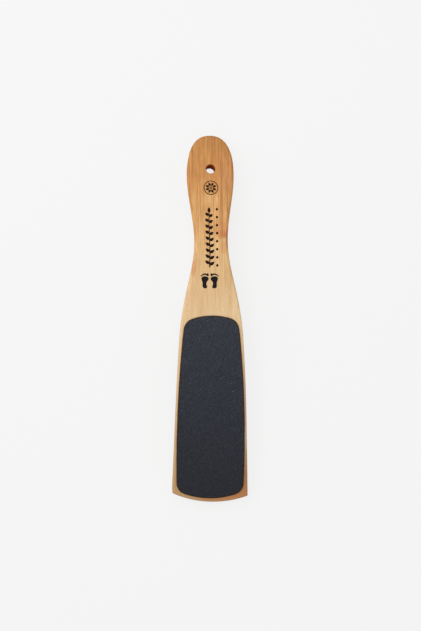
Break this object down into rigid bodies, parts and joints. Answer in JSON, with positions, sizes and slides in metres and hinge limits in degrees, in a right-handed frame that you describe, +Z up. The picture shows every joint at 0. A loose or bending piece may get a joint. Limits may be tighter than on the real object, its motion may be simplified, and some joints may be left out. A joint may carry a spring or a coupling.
{
  "type": "foot file",
  "caption": "Bowed wooden paddle with an egg-shaped handle end, a hanging hole through it, and a dark abrasive sheet glued to each face of its wide blade.",
  "frame": {"origin": "on the surface that it rests on with its hollow side down, under the middle of its length and width", "axes": "+Y along the length towards the handle's end, +Z up out of the front face, +X across to the right as seen from the front with the handle up"},
  "size_m": [0.0543, 0.2643, 0.0255],
  "materials": {
    "wood": "satin lacquered pale hardwood with straight grain along the length",
    "adhesive": "thin translucent adhesive film",
    "backing": "heavy abrasive paper, cut edge",
    "coarse_grit": "coarse bonded abrasive grain, charcoal",
    "fine_grit": "fine bonded abrasive grain, charcoal"
  },
  "bodies": {
    "root": {"wooden_body": "wood", "front_adhesive": "adhesive", "front_backing": "backing", "front_grit": "coarse_grit", "rear_adhesive": "adhesive", "rear_backing": "backing", "rear_grit": "fine_grit"}
  },
  "joints": []
}
